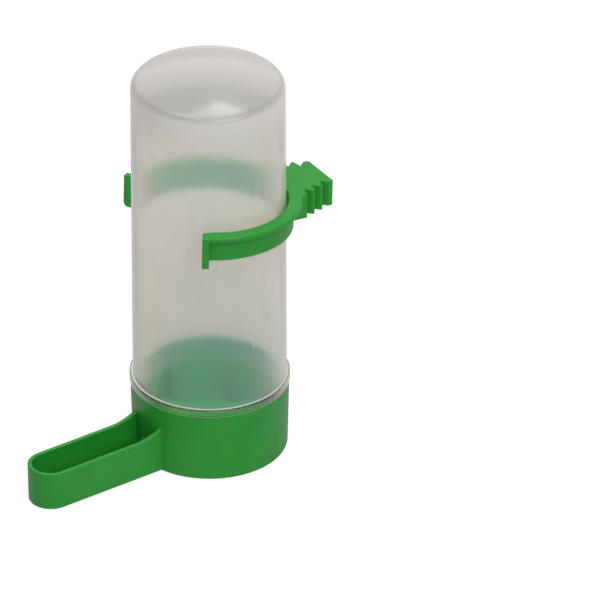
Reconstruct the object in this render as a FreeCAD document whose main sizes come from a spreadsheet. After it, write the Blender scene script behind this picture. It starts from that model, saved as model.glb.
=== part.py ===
"""Clip-on cage drinker: a frosted bottle standing mouth down in a cup with a drinking trough.

Three mouldings make it: the bottle, the trough base and the cage clip.
Frame: millimetres, +Z up, origin in the middle of the cup's underside, trough towards -Y.
"""
import math
import os
import re

import FreeCAD
import Part
import Sketcher

SIZES = [
    # alias, millimetres or degrees, what it is
    ("tube_radius", 22.0, "bottle's outer radius just below its closed end"),
    ("tube_draft", 0.27, "how much wider the bottle's wall is at the collar"),
    ("tube_wall", 1.25, "bottle's wall"),
    ("tube_height", 122.3, "top of the closed end above the ground"),
    ("crown_rise", 3.8, "dome of the closed end"),
    ("crown_corner", 2.5, "outer rounding between wall and dome"),
    ("collar_overhang", 0.93, "collar beyond the wall it grows from"),
    ("collar_height", 2.35, "collar's height"),
    ("collar_edge", 0.3, "rounding of the collar's outer edges"),
    ("spigot_length", 7.0, "neck below the collar that enters the cup"),
    ("spigot_wall", 1.1, "neck's wall"),
    ("cup_height", 21.25, "cup's rim above the ground"),
    ("cup_wall", 1.2, "cup's wall at the rim"),
    ("cup_inset", 0.25, "rim inside the collar's outer edge"),
    ("cup_draft", 0.5, "how much narrower the cup is at the ground"),
    ("cup_foot_edge", 0.5, "rounding of the cup's lower edge"),
    ("cup_rim_edge", 0.3, "rounding of the rim's outer edge"),
    ("seat_step", 0.4, "cup's bore below the neck is this much narrower"),
    ("floor_thickness", 1.4, "floor of cup and trough"),
    ("spigot_gap", 0.15, "radial gap between neck and cup"),
    ("fin_gap", 0.2, "gap between the neck's mouth and the fins under it"),
    ("fin_thickness", 1.2, "fins inside the cup"),
    ("fin_reach", 2.6, "fins' radial length"),
    ("fin_back_angle", 35, "rear fins, from the back of the cup"),
    ("fin_side_angle", 87, "side fins, from the back of the cup"),
    ("trough_length", 39.15, "trough beyond the cup's rim"),
    ("trough_width", 13.1, "trough's outer width at the ground"),
    ("trough_draft_angle", 0.7, "outward lean of the trough's walls"),
    ("trough_wall", 1.3, "trough's wall"),
    ("trough_height", 12.0, "trough's rim above the ground"),
    ("trough_foot_edge", 0.9, "rounding of the trough's lower edge"),
    ("trough_rim_edge", 0.3, "rounding of the trough's rim"),
    ("sweep_run", 9.0, "length over which the trough's rim rises to the cup"),
    ("sweep_rise", 2.3, "how far it rises"),
    ("window_height", 7.5, "top of the window between cup and trough"),
    ("clip_height", 80.9, "clip's top face above the ground, at the bottle's axis"),
    ("clip_turn", 84.0, "tab's direction, from +X"),
    ("clip_pitch", 3.2, "tab's droop"),
    ("clip_roll", -2.7, "clip's sideways lean"),
    ("clip_slack", 0.9, "clip's bore beyond the bottle's radius"),
    ("web_thickness", 1.4, "clip's upright band"),
    ("web_depth", 8.1, "its height"),
    ("lip_width", 3.9, "clip's flat top, from bore to edge"),
    ("lip_thickness", 1.3, "its thickness"),
    ("lip_edge", 0.4, "rounding of its outer top edge"),
    ("arm_angle", 121, "middle of each end bar, from the tab"),
    ("bar_width", 2.0, "end bars, along the arm"),
    ("bar_reach", 4.6, "end bars, outwards from the bore"),
    ("bar_depth", 9.8, "end bars, downwards"),
    ("bar_corner", 1.5, "rounding of their lower outer corner"),
    ("nub_radius", 0.6, "grip nubs inside each arm"),
    ("nub_stand", 0.35, "how far the nubs stand out of the bore"),
    ("nub_spacing", 5.0, "angle from bar to nub and from nub to nub"),
    ("tab_length", 10.0, "tab beyond the lip"),
    ("tab_depth", 7.5, "tab's height"),
    ("tab_half_width", 7.4, "half the width of the tab's first tooth"),
    ("tooth_step", 1.3, "extra half width of each next tooth"),
    ("tooth_pitch", 3.3, "from tooth to tooth"),
    ("notch_depth", 2.0, "notches between the teeth"),
    ("notch_ramp", 2.0, "length of the sloping side of a notch"),
    ("notch_face", 0.6, "length of its steep side"),
    ("end_tooth", 3.7, "from the first notch to the tab's end"),
    ("tab_wall", 1.4, "tab's top and walls around its hollow underside"),
    ("tab_edge", 0.25, "rounding of the tab's teeth"),
]
NOTCHES = 3
NUBS_PER_ARM = 2
TOUCH = 1e-4  # difference below which two values are the same

doc = FreeCAD.newDocument("cage_drinker")
sheet = doc.addObject("Spreadsheet::Sheet", "Sizes")
for row, (alias, size, note) in enumerate(SIZES, start=1):
    sheet.set(f"A{row}", alias)
    sheet.set(f"B{row}", str(size))
    sheet.set(f"C{row}", note)
    sheet.setAlias(f"B{row}", alias)
doc.recompute()

ALIASES = {alias for alias, _, _ in SIZES}

# Sizes that several sub-parts share, worked out from the sheet.
FOOT_RADIUS = "(tube_radius + tube_draft)"
COLLAR_RADIUS = f"({FOOT_RADIUS} + collar_overhang)"
RIM_RADIUS = f"({COLLAR_RADIUS} - cup_inset)"
CUP_BORE = f"({RIM_RADIUS} - cup_wall)"
SPIGOT_RADIUS = f"({CUP_BORE} - spigot_gap)"
SPIGOT_BORE = f"({SPIGOT_RADIUS} - spigot_wall)"
MOUTH_LEVEL = "(cup_height - spigot_length)"
SEAT_BORE = f"({CUP_BORE} - seat_step)"
TROUGH_TIP = f"({RIM_RADIUS} + trough_length)"
CLIP_BORE = "(tube_radius + clip_slack)"
WEB_RADIUS = f"({CLIP_BORE} + web_thickness)"
LIP_RADIUS = f"({CLIP_BORE} + lip_width)"
TAB_END = f"({LIP_RADIUS} + tab_length)"


def bound(text):
    """Turn plain size names into references to the sheet."""
    def reference(word):
        return f"Sizes.{word[0]}" if word[0] in ALIASES else word[0]
    return re.sub(r"[a-z_]+", reference, str(text))


def number(text):
    """Value of an expression in the sheet's sizes."""
    return float(sheet.evalExpression(bound(text)))


def bind(thing, path, text):
    thing.setExpression(path, bound(text))


def new_body(label):
    body = doc.addObject("PartDesign::Body", label)
    body.Label = label
    return body


def new_sketch(body, name, role, lift=None, turn=None):
    """Sketch on one of the body's own planes, lifted along its normal and turned about it."""
    sketch = body.newObject("Sketcher::SketchObject", name)
    plane = next(item for item in body.Origin.OriginFeatures if item.Role == role)
    sketch.AttachmentSupport = [(plane, "")]
    sketch.MapMode = "FlatFace"
    if lift is not None:
        bind(sketch, "AttachmentOffset.Base.z", lift)
    if turn is not None:
        about_normal = FreeCAD.Rotation(FreeCAD.Vector(0, 0, 1), 1)
        sketch.AttachmentOffset = FreeCAD.Placement(FreeCAD.Vector(), about_normal)
        bind(sketch, "AttachmentOffset.Rotation.Angle", turn)
    return sketch


def tie(sketch, axis, geometry, point, text):
    """Fix one coordinate of a point of the sketch to an expression."""
    size = number(text)
    if abs(size) < TOUCH:
        line = -2 if axis == "X" else -1
        sketch.addConstraint(Sketcher.Constraint("PointOnObject", geometry, point, line))
        return
    index = sketch.addConstraint(Sketcher.Constraint(f"Distance{axis}", -1, 1, geometry, point, size))
    sketch.setExpression(f"Constraints[{index}]", bound(text))


def arc_between(start, end, axis, centre, turn):
    """Arc from start to end with one centre coordinate given; turn is 1 for anticlockwise."""
    (x0, y0), (x1, y1) = start, end
    squares = x1 * x1 - x0 * x0 + y1 * y1 - y0 * y0
    if axis == "X":
        cx = centre
        cy = (squares - 2 * cx * (x1 - x0)) / (2 * (y1 - y0))
    else:
        cy = centre
        cx = (squares - 2 * cy * (y1 - y0)) / (2 * (x1 - x0))
    middle = FreeCAD.Vector(cx, cy, 0)
    first = FreeCAD.Vector(x0, y0, 0) - middle
    last = FreeCAD.Vector(x1, y1, 0) - middle
    if turn < 0:
        first, last = last, first
    circle = Part.Circle(middle, FreeCAD.Vector(0, 0, 1), first.Length)
    begin = circle.parameter(middle + first)
    finish = circle.parameter(middle + last)
    return Part.ArcOfCircle(circle, begin, finish)


def outline(sketch, corners):
    """Closed outline through the corners.

    A corner is (x, y); a third item (axis, centre, turn) makes the next edge an arc.
    """
    spots = [(number(corner[0]), number(corner[1])) for corner in corners]
    heads = []
    tails = []
    for place, corner in enumerate(corners):
        start, end = spots[place], spots[(place + 1) % len(spots)]
        if len(corner) == 3:
            axis, centre, turn = corner[2]
            edge = sketch.addGeometry(arc_between(start, end, axis, number(centre), turn))
            tie(sketch, axis, edge, 3, centre)
            heads.append((edge, 1 if turn > 0 else 2))
            tails.append((edge, 2 if turn > 0 else 1))
        else:
            ends = FreeCAD.Vector(*start, 0), FreeCAD.Vector(*end, 0)
            edge = sketch.addGeometry(Part.LineSegment(*ends))
            heads.append((edge, 1))
            tails.append((edge, 2))
    for place, corner in enumerate(corners):
        sketch.addConstraint(Sketcher.Constraint("Coincident", *tails[place - 1], *heads[place]))
        tie(sketch, "X", *heads[place], corner[0])
        tie(sketch, "Y", *heads[place], corner[1])


def circle(sketch, radius, x="0", y="0"):
    edge = sketch.addGeometry(
        Part.Circle(FreeCAD.Vector(number(x), number(y), 0), FreeCAD.Vector(0, 0, 1), number(radius)))
    index = sketch.addConstraint(Sketcher.Constraint("Radius", edge, number(radius)))
    sketch.setExpression(f"Constraints[{index}]", bound(radius))
    tie(sketch, "X", edge, 3, x)
    tie(sketch, "Y", edge, 3, y)


def extrude(body, kind, name, sketch, length, flip=False, taper=None):
    """Pad along the sketch's normal or Pocket against it; flip turns that round."""
    feature = body.newObject(f"PartDesign::{kind}", name)
    feature.Profile = sketch
    bind(feature, "Length", length)
    feature.Reversed = flip
    if taper is not None:
        bind(feature, "TaperAngle", taper)
    doc.recompute()
    return feature


def cut(body, name, sketch, length, flip=False):
    """Pocket that must take something away."""
    before = body.Shape.Volume
    feature = extrude(body, "Pocket", name, sketch, length, flip)
    if body.Shape.Volume > before - TOUCH:
        raise RuntimeError(f"{name} removed nothing")
    return feature


def turned(body, kind, name, sketch):
    """Revolution or Groove about the vertical axis of the sketch."""
    feature = body.newObject(f"PartDesign::{kind}", name)
    feature.Profile = sketch
    feature.ReferenceAxis = (sketch, ["V_Axis"])
    feature.Angle = 360
    doc.recompute()
    return feature


def round_edges(body, name, radius, wanted):
    """Fillet every edge of the body for which wanted(edge) is true."""
    edges = [f"Edge{place + 1}" for place, edge in enumerate(body.Shape.Edges) if wanted(edge)]
    if not edges:
        raise RuntimeError(f"{name} found no edge")
    rounded = body.Tip
    fillet = body.newObject("PartDesign::Fillet", name)
    fillet.Base = (rounded, edges)
    bind(fillet, "Radius", radius)
    doc.recompute()
    return fillet


def ring_edge(radius, level):
    """Test for a full or partial circle of this radius about the vertical axis at this level."""
    def wanted(edge):
        if edge.Degenerated:
            return False
        curve = edge.Curve
        if not isinstance(curve, Part.Circle):
            return False
        centred = abs(curve.Center.x) < TOUCH and abs(curve.Center.y) < TOUCH
        upright = abs(abs(curve.Axis.z) - 1) < TOUCH
        return (centred and upright and abs(curve.Center.z - number(level)) < TOUCH
                and abs(curve.Radius - number(radius)) < TOUCH)
    return wanted


def build_bottle():
    """Frosted bottle: tapering wall, domed closed end, collar and the neck below it."""
    body = new_body("reservoir_bottle")
    dome_foot = "tube_height - crown_rise"
    inner_radius = "tube_radius - tube_wall"
    inner_foot = f"{FOOT_RADIUS} - tube_wall"
    collar_top = "cup_height + collar_height"
    profile = new_sketch(body, "bottle_profile", "XZ_Plane")
    outline(profile, [
        (SPIGOT_BORE, MOUTH_LEVEL),
        (SPIGOT_RADIUS, MOUTH_LEVEL),
        (SPIGOT_RADIUS, "cup_height"),
        (COLLAR_RADIUS, "cup_height"),
        (COLLAR_RADIUS, collar_top),
        (FOOT_RADIUS, collar_top),
        ("tube_radius", dome_foot, ("X", "0", 1)),
        ("0", "tube_height"),
        ("0", "tube_height - tube_wall", ("X", "0", -1)),
        (inner_radius, f"{dome_foot} - tube_wall"),
        (inner_foot, f"{collar_top} + tube_wall"),
        (SPIGOT_BORE, "cup_height"),
    ])
    turned(body, "Revolution", "bottle_wall", profile)
    round_edges(body, "crown_rounding", "crown_corner", ring_edge("tube_radius", dome_foot))
    inner_corner = ring_edge(inner_radius, f"{dome_foot} - tube_wall")
    round_edges(body, "inner_rounding", "crown_corner - tube_wall", inner_corner)
    for name, level in (("collar_top_rounding", collar_top), ("collar_foot_rounding", "cup_height")):
        round_edges(body, name, "collar_edge", ring_edge(COLLAR_RADIUS, level))
    return body


def add_trough(body):
    """Long open trough with a round tip, solid where the cup will be."""
    half = "trough_width / 2"
    plan = new_sketch(body, "trough_plan", "XY_Plane")
    outline(plan, [
        (half, "0"),
        (f"-{half}", "0"),
        (f"-{half}", f"-({TROUGH_TIP} - {half})", ("Y", f"-({TROUGH_TIP} - {half})", 1)),
        (half, f"-({TROUGH_TIP} - {half})"),
    ])
    wall_top = "trough_height + sweep_rise"
    extrude(body, "Pad", "trough_block", plan, wall_top, taper="trough_draft_angle")

    # Everything above the rim goes, up to where the rim sweeps up to the cup.
    side = new_sketch(body, "trough_rim_line", "YZ_Plane")
    sweep_end = f"-({RIM_RADIUS} - cup_wall)"
    sweep_start = f"-({RIM_RADIUS} - cup_wall + sweep_run)"
    beyond = f"-({TROUGH_TIP} + trough_wall)"
    outline(side, [
        (beyond, "trough_height"),
        (sweep_start, "trough_height", ("X", sweep_start, 1)),
        (sweep_end, wall_top),
        (sweep_end, f"{wall_top} + trough_wall"),
        (beyond, f"{wall_top} + trough_wall"),
    ])
    past_both_walls = "4 * trough_width"
    rim_cut = extrude(body, "Pocket", "trough_rim", side, past_both_walls)
    rim_cut.SideType = "Symmetric"
    doc.recompute()

    def foot_edge(edge):
        return edge.BoundBox.ZMax < TOUCH and edge.BoundBox.YLength > TOUCH
    round_edges(body, "trough_foot_rounding", "trough_foot_edge", foot_edge)

    inner_half = f"({half} - trough_wall)"
    hollow = new_sketch(body, "trough_hollow_plan", "XY_Plane", lift="floor_thickness")
    outline(hollow, [
        (inner_half, "0"),
        (f"-{inner_half}", "0"),
        (f"-{inner_half}", f"-({TROUGH_TIP} - {half})", ("Y", f"-({TROUGH_TIP} - {half})", 1)),
        (inner_half, f"-({TROUGH_TIP} - {half})"),
    ])
    extrude(body, "Pocket", "trough_hollow", hollow, wall_top, flip=True, taper="trough_draft_angle")

    def rim_edge(edge):
        box = edge.BoundBox
        return (box.ZMin > number("trough_height") - TOUCH and box.YLength > TOUCH
                and box.YMax < number(sweep_end) + TOUCH)
    round_edges(body, "trough_rim_rounding", "trough_rim_edge", rim_edge)


def build_base():
    """Round cup with the trough on its front, a window between them and fins under the bottle."""
    body = new_body("trough_base")
    add_trough(body)
    foot = f"({RIM_RADIUS} - cup_draft)"
    block = new_sketch(body, "cup_profile", "XZ_Plane")
    outline(block, [
        ("0", "0"),
        (f"{foot} - cup_foot_edge", "0", ("X", f"{foot} - cup_foot_edge", 1)),
        (foot, "cup_foot_edge"),
        (RIM_RADIUS, "cup_height"),
        ("0", "cup_height"),
    ])
    turned(body, "Revolution", "cup_block", block)

    seat_level = f"{MOUTH_LEVEL} - fin_gap"
    bore = new_sketch(body, "cup_bore_profile", "XZ_Plane")
    outline(bore, [
        ("0", "floor_thickness"),
        (f"{SEAT_BORE} - cup_draft", "floor_thickness"),
        (SEAT_BORE, f"{seat_level} - seat_step"),
        (CUP_BORE, seat_level),
        (CUP_BORE, "cup_height"),
        ("0", "cup_height"),
    ])
    turned(body, "Groove", "cup_bore", bore)

    window_half = "(trough_width / 2 - trough_wall)"
    window = new_sketch(body, "window_outline", "XZ_Plane")
    outline(window, [
        (f"-{window_half}", "floor_thickness"),
        (window_half, "floor_thickness"),
        (window_half, "window_height"),
        (f"-{window_half}", "window_height"),
    ])
    cut(body, "window", window, RIM_RADIUS, flip=True)

    for name, angle in (("back_left", "90 + fin_back_angle"), ("back_right", "90 - fin_back_angle"),
                        ("left", "90 + fin_side_angle"), ("right", "90 - fin_side_angle")):
        add_fin(body, name, angle, seat_level)

    round_edges(body, "rim_rounding", "cup_rim_edge", ring_edge(RIM_RADIUS, "cup_height"))
    return body


def add_fin(body, name, angle, level):
    """Upright rib on the cup's wall that stops just short of the bottle's mouth."""
    plan = new_sketch(body, f"fin_plan_{name}", "XY_Plane", lift="floor_thickness / 2", turn=angle)
    inner = f"({SEAT_BORE} - fin_reach)"
    outer = f"({SEAT_BORE} + seat_step / 2)"
    outline(plan, [
        (inner, "-fin_thickness / 2"),
        (outer, "-fin_thickness / 2"),
        (outer, "fin_thickness / 2"),
        (inner, "fin_thickness / 2"),
    ])
    extrude(body, "Pad", f"fin_{name}", plan, f"{level} - seat_step - floor_thickness / 2")


def tab_side():
    """One side of the toothed tab in plan, from its end back to the ring."""
    inside_ring = "tube_radius / 2"
    corners = []
    for tooth in range(NOTCHES + 1):
        notch = f"({TAB_END} - end_tooth - {tooth} * tooth_pitch)"
        width = f"(tab_half_width + {tooth} * tooth_step)"
        if tooth == 0:
            corners.append((TAB_END, f"{width} - notch_face"))
            corners.append((f"{TAB_END} - notch_face", width))
        else:
            corners.append((f"{notch} + tooth_pitch - notch_face", width))
        if tooth < NOTCHES:
            corners.append((f"{notch} + notch_ramp", width))
            corners.append((notch, f"{width} - notch_depth"))
        else:
            corners.append((inside_ring, width))
    return corners


def add_tab(body):
    """Toothed tab that wedges between two cage wires, hollow underneath."""
    side = tab_side()
    plan = new_sketch(body, "tab_plan", "XY_Plane")
    outline(plan, side + [(x, f"-({y})") for x, y in reversed(side)])
    extrude(body, "Pad", "tab", plan, "tab_depth", flip=True)


def hollow_tab(body):
    """Core the tab out from below, leaving its top and side walls."""
    end_half = "(tab_half_width - notch_depth - tab_wall)"
    root_half = f"({end_half} + {NOTCHES - 1} * tooth_step)"
    core = new_sketch(body, "tab_core_plan", "XY_Plane", lift="-tab_depth")
    outer = f"({TAB_END} - tab_wall)"
    under_lip = "lip_width / 4"
    inner = f"({LIP_RADIUS} - {under_lip})"
    outline(core, [(inner, f"-{root_half}"), (outer, f"-{end_half}"), (outer, end_half), (inner, root_half)])
    cut(body, "tab_core", core, "tab_depth - tab_wall", flip=True)


def add_arm_end(body, side):
    """Down-turned bar at one arm's end, with the grip nubs beside it."""
    name = "left" if side > 0 else "right"
    plan = new_sketch(body, f"bar_plan_{name}", "XY_Plane", turn=f"{side} * arm_angle")
    inside_web = "web_thickness / 4"
    near = f"({CLIP_BORE} + {inside_web})"
    far = f"({CLIP_BORE} + bar_reach)"
    outline(plan, [
        (near, "-bar_width / 2"),
        (far, "-bar_width / 2"),
        (far, "bar_width / 2"),
        (near, "bar_width / 2"),
    ])
    extrude(body, "Pad", f"bar_{name}", plan, "bar_depth", flip=True)
    for count in range(1, NUBS_PER_ARM + 1):
        angle = f"{side} * (arm_angle - {count} * nub_spacing)"
        nub_plan = new_sketch(body, f"nub_plan_{name}_{count}", "XY_Plane", turn=angle)
        circle(nub_plan, "nub_radius", x=f"{CLIP_BORE} + nub_radius - nub_stand")
        extrude(body, "Pad", f"nub_{name}_{count}", nub_plan, "web_depth", flip=True)


def build_clip():
    """Open spring ring round the bottle: upright web, flat lip, toothed tab and two end bars."""
    body = new_body("cage_clip")
    for name, radius, depth in (("web", WEB_RADIUS, "web_depth"), ("lip", LIP_RADIUS, "lip_thickness")):
        plan = new_sketch(body, f"{name}_plan", "XY_Plane")
        circle(plan, radius)
        extrude(body, "Pad", name, plan, depth, flip=True)
    add_tab(body)
    bore = new_sketch(body, "bore_plan", "XY_Plane")
    circle(bore, CLIP_BORE)
    past_ring = "2 * web_depth"
    cut(body, "bore", bore, past_ring)
    hollow_tab(body)

    mouth = new_sketch(body, "mouth_plan", "XY_Plane")
    wide = f"2 * {LIP_RADIUS}"
    outline(mouth, [
        ("0", "0"),
        (f"{wide} * cos(arm_angle)", f"{wide} * sin(arm_angle)"),
        (f"{wide} * cos(arm_angle)", f"-{wide} * sin(arm_angle)"),
    ])
    cut(body, "mouth", mouth, past_ring)
    for side in (1, -1):
        add_arm_end(body, side)

    def bar_corner(edge):
        box = edge.BoundBox
        reach = max(math.hypot(spot.Point.x, spot.Point.y) for spot in edge.Vertexes)
        return (box.ZMax < TOUCH - number("bar_depth")
                and abs(edge.Length - number("bar_width")) < TOUCH and reach > number(WEB_RADIUS))
    round_edges(body, "bar_rounding", "bar_corner", bar_corner)

    widths = [number(f"tab_half_width + {tooth} * tooth_step") for tooth in range(NOTCHES)]

    def tooth_corner(edge):
        box = edge.BoundBox
        upright = box.ZLength > number("tab_depth") - TOUCH and box.XLength + box.YLength < TOUCH
        beyond_lip = box.XMin > number(LIP_RADIUS)
        return upright and beyond_lip and any(abs(abs(box.YMin) - width) < TOUCH for width in widths)
    round_edges(body, "tooth_rounding", "tab_edge", tooth_corner)
    round_edges(body, "lip_rounding", "lip_edge", ring_edge(LIP_RADIUS, "0"))

    # The slack ring leans on the bottle: its middle height stays on the bottle's axis.
    lean = FreeCAD.Rotation(number("clip_turn"), number("clip_pitch"), number("clip_roll"))
    middle = lean.multVec(FreeCAD.Vector(0, 0, -number("web_depth") / 2))
    place = FreeCAD.Vector(-middle.x, -middle.y, number("clip_height"))
    body.Placement = FreeCAD.Placement(place, lean)
    return body


def check_and_export(bodies):
    """Stop on any failed feature, then write one file for each sub-part."""
    doc.recompute()
    failed = [item.Label for item in doc.Objects if {"Invalid", "Error"} & set(item.State)]
    if failed:
        raise RuntimeError(f"failed features: {failed}")
    os.makedirs("parts", exist_ok=True)
    for body in bodies:
        shape = body.Shape
        if shape.isNull() or not shape.isValid() or len(shape.Solids) != 1:
            raise RuntimeError(f"{body.Label} is not one valid solid")
        shape.exportStep(f"parts/{body.Label}.step")
        print(f"{body.Label}: {shape.Volume / 1000:.2f} cm3")


check_and_export([build_bottle(), build_base(), build_clip()])
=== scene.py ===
"""Looks of the clip-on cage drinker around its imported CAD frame. Metres, +Z up."""
import math

import bpy
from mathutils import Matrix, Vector

MM = 0.001
WHITE = (1.0, 1.0, 1.0, 1.0)

# Camera, aimed at a point given as offsets to its right and up from the origin.
VIEW_AZIMUTH = math.radians(54.4)
VIEW_ELEVATION = math.radians(31.09)
VIEW_DISTANCE = 2.3185
VIEW_RIGHT = 26.0 * MM
VIEW_UP = 40.0 * MM
VIEW_LIMIT = 50.0
LENS_MM = 480.0
SENSOR_MM = 36.0

# Stage. The glow is what the floor shows the camera, and the fill what it lights the object with.
FLOOR_HALF = 6.0
FLOOR_COLOUR = (0.25, 0.25, 0.25, 1.0)
FLOOR_ROUGHNESS = 0.9
FLOOR_GLOW = 0.82
FLOOR_FILL = 0.4
WORLD_STRENGTH = 0.15

# Each lamp's place, the height on the bottle's axis that it faces, its size and its power in watts.
LAMPS = {
    "strip": ((-0.503, 0.578, 1.41), 0.12, (0.32, 0.1), 0.58),
    "overhead": ((0.0, 0.0, 1.7), 0.1, (1.5, 1.5), 22.5),
    "key": ((1.6, -0.15, 1.4), 0.06, (1.2, 1.0), 14.0),
    "front": ((1.2, -0.9, 1.0), 0.04, (1.2, 1.2), 6.0),
    "sheen": ((-1.25, 0.9, 0.95), 0.06, (1.5, 0.8), 2.8),
}
UNREFLECTED_LAMP = "front"

# Tints, as 8-bit display values.
GREEN_DARK = (34, 140, 44)
GREEN_LIGHT = (40, 148, 50)
GLASS_DARK = (252, 242, 237)
GLASS_LIGHT = (255, 246, 241)
OUTER_TINT = (142, 198, 190)
CAVITY_TINT = (204, 218, 224)
SHOULDER_TINT = (214, 211, 206)
CROWN_TINT = (154, 155, 153)
# Colour of the brighter haze that paints a highlight on the collar ring and lightens the bottle's edges.
PAINTED_LIGHT_TINT = (255, 247, 239)

# Noise patterns, each by its scale and detail. Nearly all of their values lie in the span.
NOISE_SPAN = (0.3, 0.7)
MOTTLE = (90.0, 3.0)
GRAIN = (900.0, 2.0)
CLOUD = (60.0, 3.0)
STREAK = (700.0, 2.0)
STREAK_STRETCH = (1.0, 1.0, 0.04)

PLASTIC_IOR = 1.49

# Green mouldings.
GREEN_ROUGHNESS = (0.38, 0.46)
GREEN_SPECULAR = 0.35
EDGE_SOFTENING = 0.15 * MM
EDGE_SAMPLES = 4
GRAIN_DEPTH = 0.01 * MM

# Bottle: surfaces and levels that tell its zones apart.
WALL_MIDDLE = 21.5 * MM
CROWN_MIDDLE = 121.7 * MM
CROWN_RISE = 3.8 * MM
CROWN_RADIUS = 22.0 * MM
SHOULDER_LEVELS = (104.0 * MM, 117.0 * MM)
CROWN_LEVELS = (116.5 * MM, 119.0 * MM)
NECK_TOP = 24.0 * MM
# Ring where the wall meets the collar, on which a pale highlight is painted; its outer radius also
# bounds the collar zone.
COLLAR_HIGHLIGHT_RADII = (22.25 * MM, 22.62 * MM)
COLLAR_HIGHLIGHT_LEVELS = (23.45 * MM, 23.8 * MM)

# Bottle: roughness of its clear and its hazy part, and what each zone adds to the share of haze.
FROST = 0.16
HAZE_ROUGHNESS = 0.16
OUTER_HAZE = 0.27
CAVITY_HAZE = (0.035, 0.055)
SHOULDER_HAZE = 0.6
COLLAR_HAZE = -0.24
# Share of the brighter haze on the ring at the collar: a painted highlight.
COLLAR_HIGHLIGHT_SHARE = 0.3
# Share of the brighter haze where the wall is seen along its face: partly more scattering, partly
# painted light that lifts the edges.
GRAZING_HAZE_AND_LIGHT = 1.15
EDGE_FALLOFF = 2.3
TINT_LEAD = 0.5


def linear(red, green, blue):
    """Scene-linear colour with alpha from 8-bit display values."""
    channels = []
    for value in (red, green, blue):
        share = value / 255
        low = share / 12.92
        high = ((share + 0.055) / 1.055) ** 2.4
        channels.append(low if share <= 0.04045 else high)
    return (*channels, 1.0)


def new_material(name):
    """Material with a fresh node tree, its Principled shader and its output."""
    material = bpy.data.materials.new(name)
    material.use_nodes = True
    tree = material.node_tree
    tree.nodes.clear()
    output = tree.nodes.new("ShaderNodeOutputMaterial")
    shader = tree.nodes.new("ShaderNodeBsdfPrincipled")
    tree.links.new(shader.outputs["BSDF"], output.inputs["Surface"])
    return material, tree, shader, output


def feed(tree, entry, value):
    """Link a node's input to another socket, or set it to a plain number or colour."""
    if isinstance(value, bpy.types.NodeSocket):
        tree.links.new(value, entry)
    else:
        entry.default_value = value


def noise(tree, coordinates, scale, detail):
    """Noise value at the given coordinates."""
    node = tree.nodes.new("ShaderNodeTexNoise")
    node.inputs["Scale"].default_value = scale
    node.inputs["Detail"].default_value = detail
    tree.links.new(coordinates, node.inputs["Vector"])
    return node.outputs["Fac"]


def remap(tree, value, low, high):
    """Noise value spread over low..high."""
    span_start, span_end = NOISE_SPAN
    node = tree.nodes.new("ShaderNodeMapRange")
    node.inputs["From Min"].default_value = span_start
    node.inputs["From Max"].default_value = span_end
    node.inputs["To Min"].default_value = low
    node.inputs["To Max"].default_value = high
    tree.links.new(value, node.inputs["Value"])
    return node.outputs["Result"]


def rise(tree, z, low, high):
    """Grows smoothly from 0 below the low level to 1 above the high one."""
    node = tree.nodes.new("ShaderNodeMapRange")
    node.interpolation_type = "SMOOTHSTEP"
    node.inputs["From Min"].default_value = low
    node.inputs["From Max"].default_value = high
    tree.links.new(z, node.inputs["Value"])
    return node.outputs["Result"]


def colour_mix(tree, share, first, second):
    """Colour between two sockets or plain colours: the first at 0 and the second at 1."""
    node = tree.nodes.new("ShaderNodeMix")
    node.data_type = "RGBA"
    tree.links.new(share, node.inputs["Factor"])
    feed(tree, node.inputs["A"], first)
    feed(tree, node.inputs["B"], second)
    return node.outputs["Result"]


def math_node(tree, operation, first, second):
    """Result of a Math node on two sockets or plain numbers."""
    node = tree.nodes.new("ShaderNodeMath")
    node.operation = operation
    feed(tree, node.inputs[0], first)
    feed(tree, node.inputs[1], second)
    return node.outputs["Value"]


def shader_mix(tree, share, first, second):
    """Shader between two others: the first at 0 and the second at 1."""
    node = tree.nodes.new("ShaderNodeMixShader")
    tree.links.new(share, node.inputs["Fac"])
    tree.links.new(first, node.inputs[1])
    tree.links.new(second, node.inputs[2])
    return node.outputs["Shader"]


def object_coordinates(tree):
    """Place on the object, in its own axes."""
    return tree.nodes.new("ShaderNodeTexCoord").outputs["Object"]


def softened_normal(tree, height):
    """Surface normal with rounded edges, raised and lowered by the given height."""
    bevel = tree.nodes.new("ShaderNodeBevel")
    bevel.inputs["Radius"].default_value = EDGE_SOFTENING
    bevel.samples = EDGE_SAMPLES
    bump = tree.nodes.new("ShaderNodeBump")
    bump.inputs["Distance"].default_value = GRAIN_DEPTH
    tree.links.new(height, bump.inputs["Height"])
    tree.links.new(bevel.outputs["Normal"], bump.inputs["Normal"])
    return bump.outputs["Normal"]


def green_plastic():
    """Satin moulded green with faint flow mottling and softened edges."""
    material, tree, shader, _ = new_material("green_plastic")
    place = object_coordinates(tree)
    mottle = remap(tree, noise(tree, place, *MOTTLE), 0.0, 1.0)
    base = colour_mix(tree, mottle, linear(*GREEN_DARK), linear(*GREEN_LIGHT))
    tree.links.new(base, shader.inputs["Base Color"])
    grain = noise(tree, place, *GRAIN)
    tree.links.new(remap(tree, grain, *GREEN_ROUGHNESS), shader.inputs["Roughness"])
    tree.links.new(softened_normal(tree, grain), shader.inputs["Normal"])
    shader.inputs["IOR"].default_value = PLASTIC_IOR
    shader.inputs["Specular IOR Level"].default_value = GREEN_SPECULAR
    return material


def axis_distance_squared(tree, x, y):
    """Squared distance from the bottle's axis."""
    x_squared = math_node(tree, "MULTIPLY", x, x)
    y_squared = math_node(tree, "MULTIPLY", y, y)
    return math_node(tree, "ADD", x_squared, y_squared)


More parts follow.
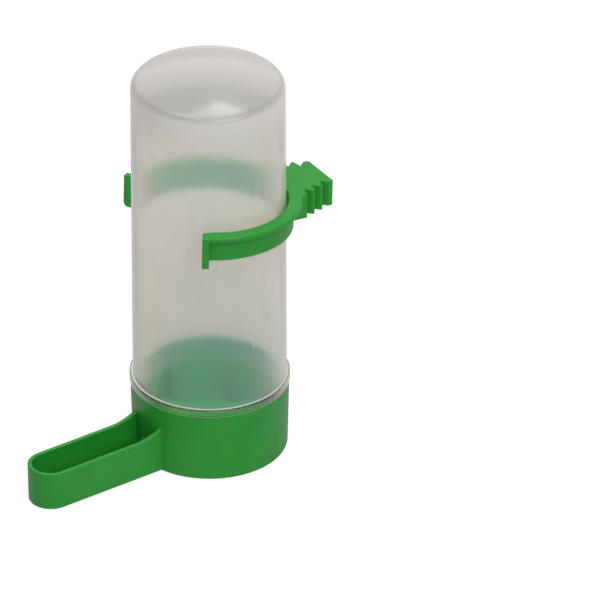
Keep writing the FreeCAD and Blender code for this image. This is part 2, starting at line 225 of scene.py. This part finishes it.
def inner_surface(tree, squared, z):
    """1 on the bottle's inner surface and 0 on its outer one."""
    inside_wall = math_node(tree, "LESS_THAN", squared, WALL_MIDDLE ** 2)
    drop = math_node(tree, "MULTIPLY", squared, CROWN_RISE / CROWN_RADIUS ** 2)
    crown = math_node(tree, "SUBTRACT", CROWN_MIDDLE, drop)
    below_crown = math_node(tree, "LESS_THAN", z, crown)
    return math_node(tree, "MULTIPLY", inside_wall, below_crown)


def within(tree, value, low, high):
    """1 where the value lies between low and high, and 0 elsewhere."""
    above = math_node(tree, "GREATER_THAN", value, low)
    below = math_node(tree, "LESS_THAN", value, high)
    return math_node(tree, "MULTIPLY", above, below)


def collar_line(tree, squared, z):
    """1 on the ring where the wall meets the collar, which gets a painted highlight, and 0 elsewhere."""
    low_radius, high_radius = COLLAR_HIGHLIGHT_RADII
    ring = within(tree, squared, low_radius ** 2, high_radius ** 2)
    return math_node(tree, "MULTIPLY", ring, within(tree, z, *COLLAR_HIGHLIGHT_LEVELS))


def bottle_zones(tree, place):
    """Cavity, upper wall, closed end, collar and the ring at the collar that gets a painted highlight,
    as numbers from 0 to 1.
    """
    split = tree.nodes.new("ShaderNodeSeparateXYZ")
    tree.links.new(place, split.inputs["Vector"])
    x, y, z = (split.outputs[axis] for axis in "XYZ")
    squared = axis_distance_squared(tree, x, y)
    above_neck = math_node(tree, "GREATER_THAN", z, NECK_TOP)
    line_radius = COLLAR_HIGHLIGHT_RADII[1]
    return {
        "cavity": math_node(tree, "MULTIPLY", inner_surface(tree, squared, z), above_neck),
        "shoulder": rise(tree, z, *SHOULDER_LEVELS),
        "crown": rise(tree, z, *CROWN_LEVELS),
        "collar": math_node(tree, "GREATER_THAN", squared, line_radius ** 2),
        "line": collar_line(tree, squared, z),
    }


def streaks(tree, place):
    """Noise drawn out along the bottle, as its moulding leaves it."""
    stretch = tree.nodes.new("ShaderNodeVectorMath")
    stretch.operation = "MULTIPLY"
    stretch.inputs[1].default_value = STREAK_STRETCH
    tree.links.new(place, stretch.inputs[0])
    return noise(tree, stretch.outputs["Vector"], *STREAK)


def haze_amount(tree, place, zones):
    """Share of haze: more on the closed end and in the cavity, less on the collar."""
    streaked = remap(tree, streaks(tree, place), *CAVITY_HAZE)
    in_cavity = math_node(tree, "MULTIPLY", zones["cavity"], streaked)
    total = math_node(tree, "ADD", in_cavity, OUTER_HAZE)
    for zone, strength in (("shoulder", SHOULDER_HAZE), ("collar", COLLAR_HAZE)):
        total = math_node(tree, "ADD", total, math_node(tree, "MULTIPLY", zones[zone], strength))
    return total


def painted_light_share(tree, line):
    """Share of the brighter haze, which paints light: a painted highlight on the ring at the collar, and
    where a frosted wall is seen along its face, more haze that is partly painted light on its edges.
    """
    facing = tree.nodes.new("ShaderNodeLayerWeight").outputs["Facing"]
    falloff = math_node(tree, "POWER", facing, EDGE_FALLOFF)
    grazing = math_node(tree, "MULTIPLY", falloff, GRAZING_HAZE_AND_LIGHT)
    return math_node(tree, "ADD", grazing, math_node(tree, "MULTIPLY", line, COLLAR_HIGHLIGHT_SHARE))


def haze_shader(tree, colour):
    """Shader of the haze in the given colour, a socket or a plain colour."""
    shader = tree.nodes.new("ShaderNodeBsdfPrincipled")
    shader.inputs["Roughness"].default_value = HAZE_ROUGHNESS
    feed(tree, shader.inputs["Base Color"], colour)
    return shader.outputs["BSDF"]


def haze_tint(tree, zones):
    """Colour of the haze: it differs on the outer wall, in the cavity, on the shoulder and the crown."""
    body = colour_mix(tree, zones["cavity"], linear(*OUTER_TINT), linear(*CAVITY_TINT))
    end = colour_mix(tree, zones["crown"], linear(*SHOULDER_TINT), linear(*CROWN_TINT))
    # The tint changes faster than the haze grows, so no tinted ring shows below the closed end.
    early = math_node(tree, "POWER", zones["shoulder"], TINT_LEAD)
    return colour_mix(tree, early, body, end)


def frosted_plastic():
    """Milky wall that scatters light and passes a blurred picture of what is behind."""
    material, tree, glass, output = new_material("frosted_plastic")
    place = object_coordinates(tree)
    cloud = remap(tree, noise(tree, place, *CLOUD), 0.0, 1.0)
    tint = colour_mix(tree, cloud, linear(*GLASS_DARK), linear(*GLASS_LIGHT))
    tree.links.new(tint, glass.inputs["Base Color"])
    glass.inputs["Roughness"].default_value = FROST
    glass.inputs["IOR"].default_value = PLASTIC_IOR
    glass.inputs["Transmission Weight"].default_value = 1.0

    zones = bottle_zones(tree, place)
    haze = haze_shader(tree, haze_tint(tree, zones))
    hazy = shader_mix(tree, haze_amount(tree, place, zones), glass.outputs["BSDF"], haze)
    # A brighter haze paints a highlight on the collar ring and lightens the edges where the wall is seen
    # along its face.
    painted_light_haze = haze_shader(tree, linear(*PAINTED_LIGHT_TINT))
    front = shader_mix(tree, painted_light_share(tree, zones["line"]), hazy, painted_light_haze)

    # Light that leaves the wall's solid is only bent, so that no lamp shows twice.
    bend = tree.nodes.new("ShaderNodeBsdfRefraction")
    tree.links.new(tint, bend.inputs["Color"])
    bend.inputs["Roughness"].default_value = FROST
    bend.inputs["IOR"].default_value = PLASTIC_IOR
    leaving = tree.nodes.new("ShaderNodeNewGeometry").outputs["Backfacing"]
    wall = shader_mix(tree, leaving, front, bend.outputs["BSDF"])

    # Lamps light what stands inside and behind the bottle through its wall.
    open_wall = tree.nodes.new("ShaderNodeBsdfTransparent")
    open_wall.inputs["Color"].default_value = WHITE
    shadow_ray = tree.nodes.new("ShaderNodeLightPath").outputs["Is Shadow Ray"]
    whole = shader_mix(tree, shadow_ray, wall, open_wall.outputs["BSDF"])
    tree.links.new(whole, output.inputs["Surface"])
    return material


def floor_paper():
    """White paper whose glow hides its shadows and lights the object less than it shows."""
    material, tree, lit, output = new_material("floor_paper")
    shown = tree.nodes.new("ShaderNodeBsdfPrincipled")
    for shader, glow in ((shown, FLOOR_GLOW), (lit, FLOOR_FILL)):
        shader.inputs["Base Color"].default_value = FLOOR_COLOUR
        shader.inputs["Roughness"].default_value = FLOOR_ROUGHNESS
        shader.inputs["Emission Color"].default_value = WHITE
        shader.inputs["Emission Strength"].default_value = glow
    seen = tree.nodes.new("ShaderNodeLightPath").outputs["Is Camera Ray"]
    whole = shader_mix(tree, seen, lit.outputs["BSDF"], shown.outputs["BSDF"])
    tree.links.new(whole, output.inputs["Surface"])
    return material


def build_floor():
    """Plain pale floor."""
    bpy.ops.mesh.primitive_plane_add(size=2 * FLOOR_HALF)
    floor = bpy.context.object
    floor.name = "floor"
    floor.data.materials.append(floor_paper())


def area_light(name, place, height, size, power):
    """Rectangular lamp that faces the bottle's axis at the given height."""
    data = bpy.data.lights.new(name, "AREA")
    data.shape = "RECTANGLE"
    data.size, data.size_y = size
    data.energy = power
    light = bpy.data.objects.new(name, data)
    bpy.context.scene.collection.objects.link(light)
    light.location = place
    direction = Vector((0.0, 0.0, height)) - light.location
    light.rotation_euler = direction.to_track_quat("-Z", "Y").to_euler()
    return light


def build_light():
    """Even white surroundings and soft studio lamps."""
    world = bpy.data.worlds.new("studio")
    world.use_nodes = True
    background = world.node_tree.nodes["Background"]
    background.inputs["Color"].default_value = WHITE
    background.inputs["Strength"].default_value = WORLD_STRENGTH
    bpy.context.scene.world = world
    for name, (place, height, size, power) in LAMPS.items():
        light = area_light(name, place, height, size, power)
        light.visible_glossy = name != UNREFLECTED_LAMP


def build_camera():
    """Camera at the viewing angle, shifted sideways and up to frame the object."""
    data = bpy.data.cameras.new("camera")
    data.lens = LENS_MM
    data.sensor_width = SENSOR_MM
    data.clip_end = VIEW_LIMIT
    camera = bpy.data.objects.new("camera", data)
    bpy.context.scene.collection.objects.link(camera)
    camera.rotation_euler = (math.pi / 2 - VIEW_ELEVATION, 0.0, VIEW_AZIMUTH)
    bpy.context.view_layer.update()
    right, up, back = camera.matrix_world.to_3x3().col
    camera.location = right * VIEW_RIGHT + up * VIEW_UP + back * VIEW_DISTANCE
    bpy.context.scene.camera = camera


def dress(node, material):
    """Give a CAD node its only material."""
    node.data.materials.clear()
    node.data.materials.append(material)


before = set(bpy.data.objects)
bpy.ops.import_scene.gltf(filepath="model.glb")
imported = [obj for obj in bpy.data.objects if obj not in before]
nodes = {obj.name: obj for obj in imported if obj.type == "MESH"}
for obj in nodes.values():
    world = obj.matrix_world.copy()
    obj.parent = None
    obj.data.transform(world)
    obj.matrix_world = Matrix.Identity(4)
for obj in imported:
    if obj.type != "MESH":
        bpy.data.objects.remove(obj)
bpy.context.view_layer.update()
green = green_plastic()
frosted = frosted_plastic()
dress(nodes["trough_base"], green)
dress(nodes["cage_clip"], green)
dress(nodes["reservoir_bottle"], frosted)
build_floor()
build_light()
build_camera()
bpy.context.scene.view_settings.view_transform = "Standard"
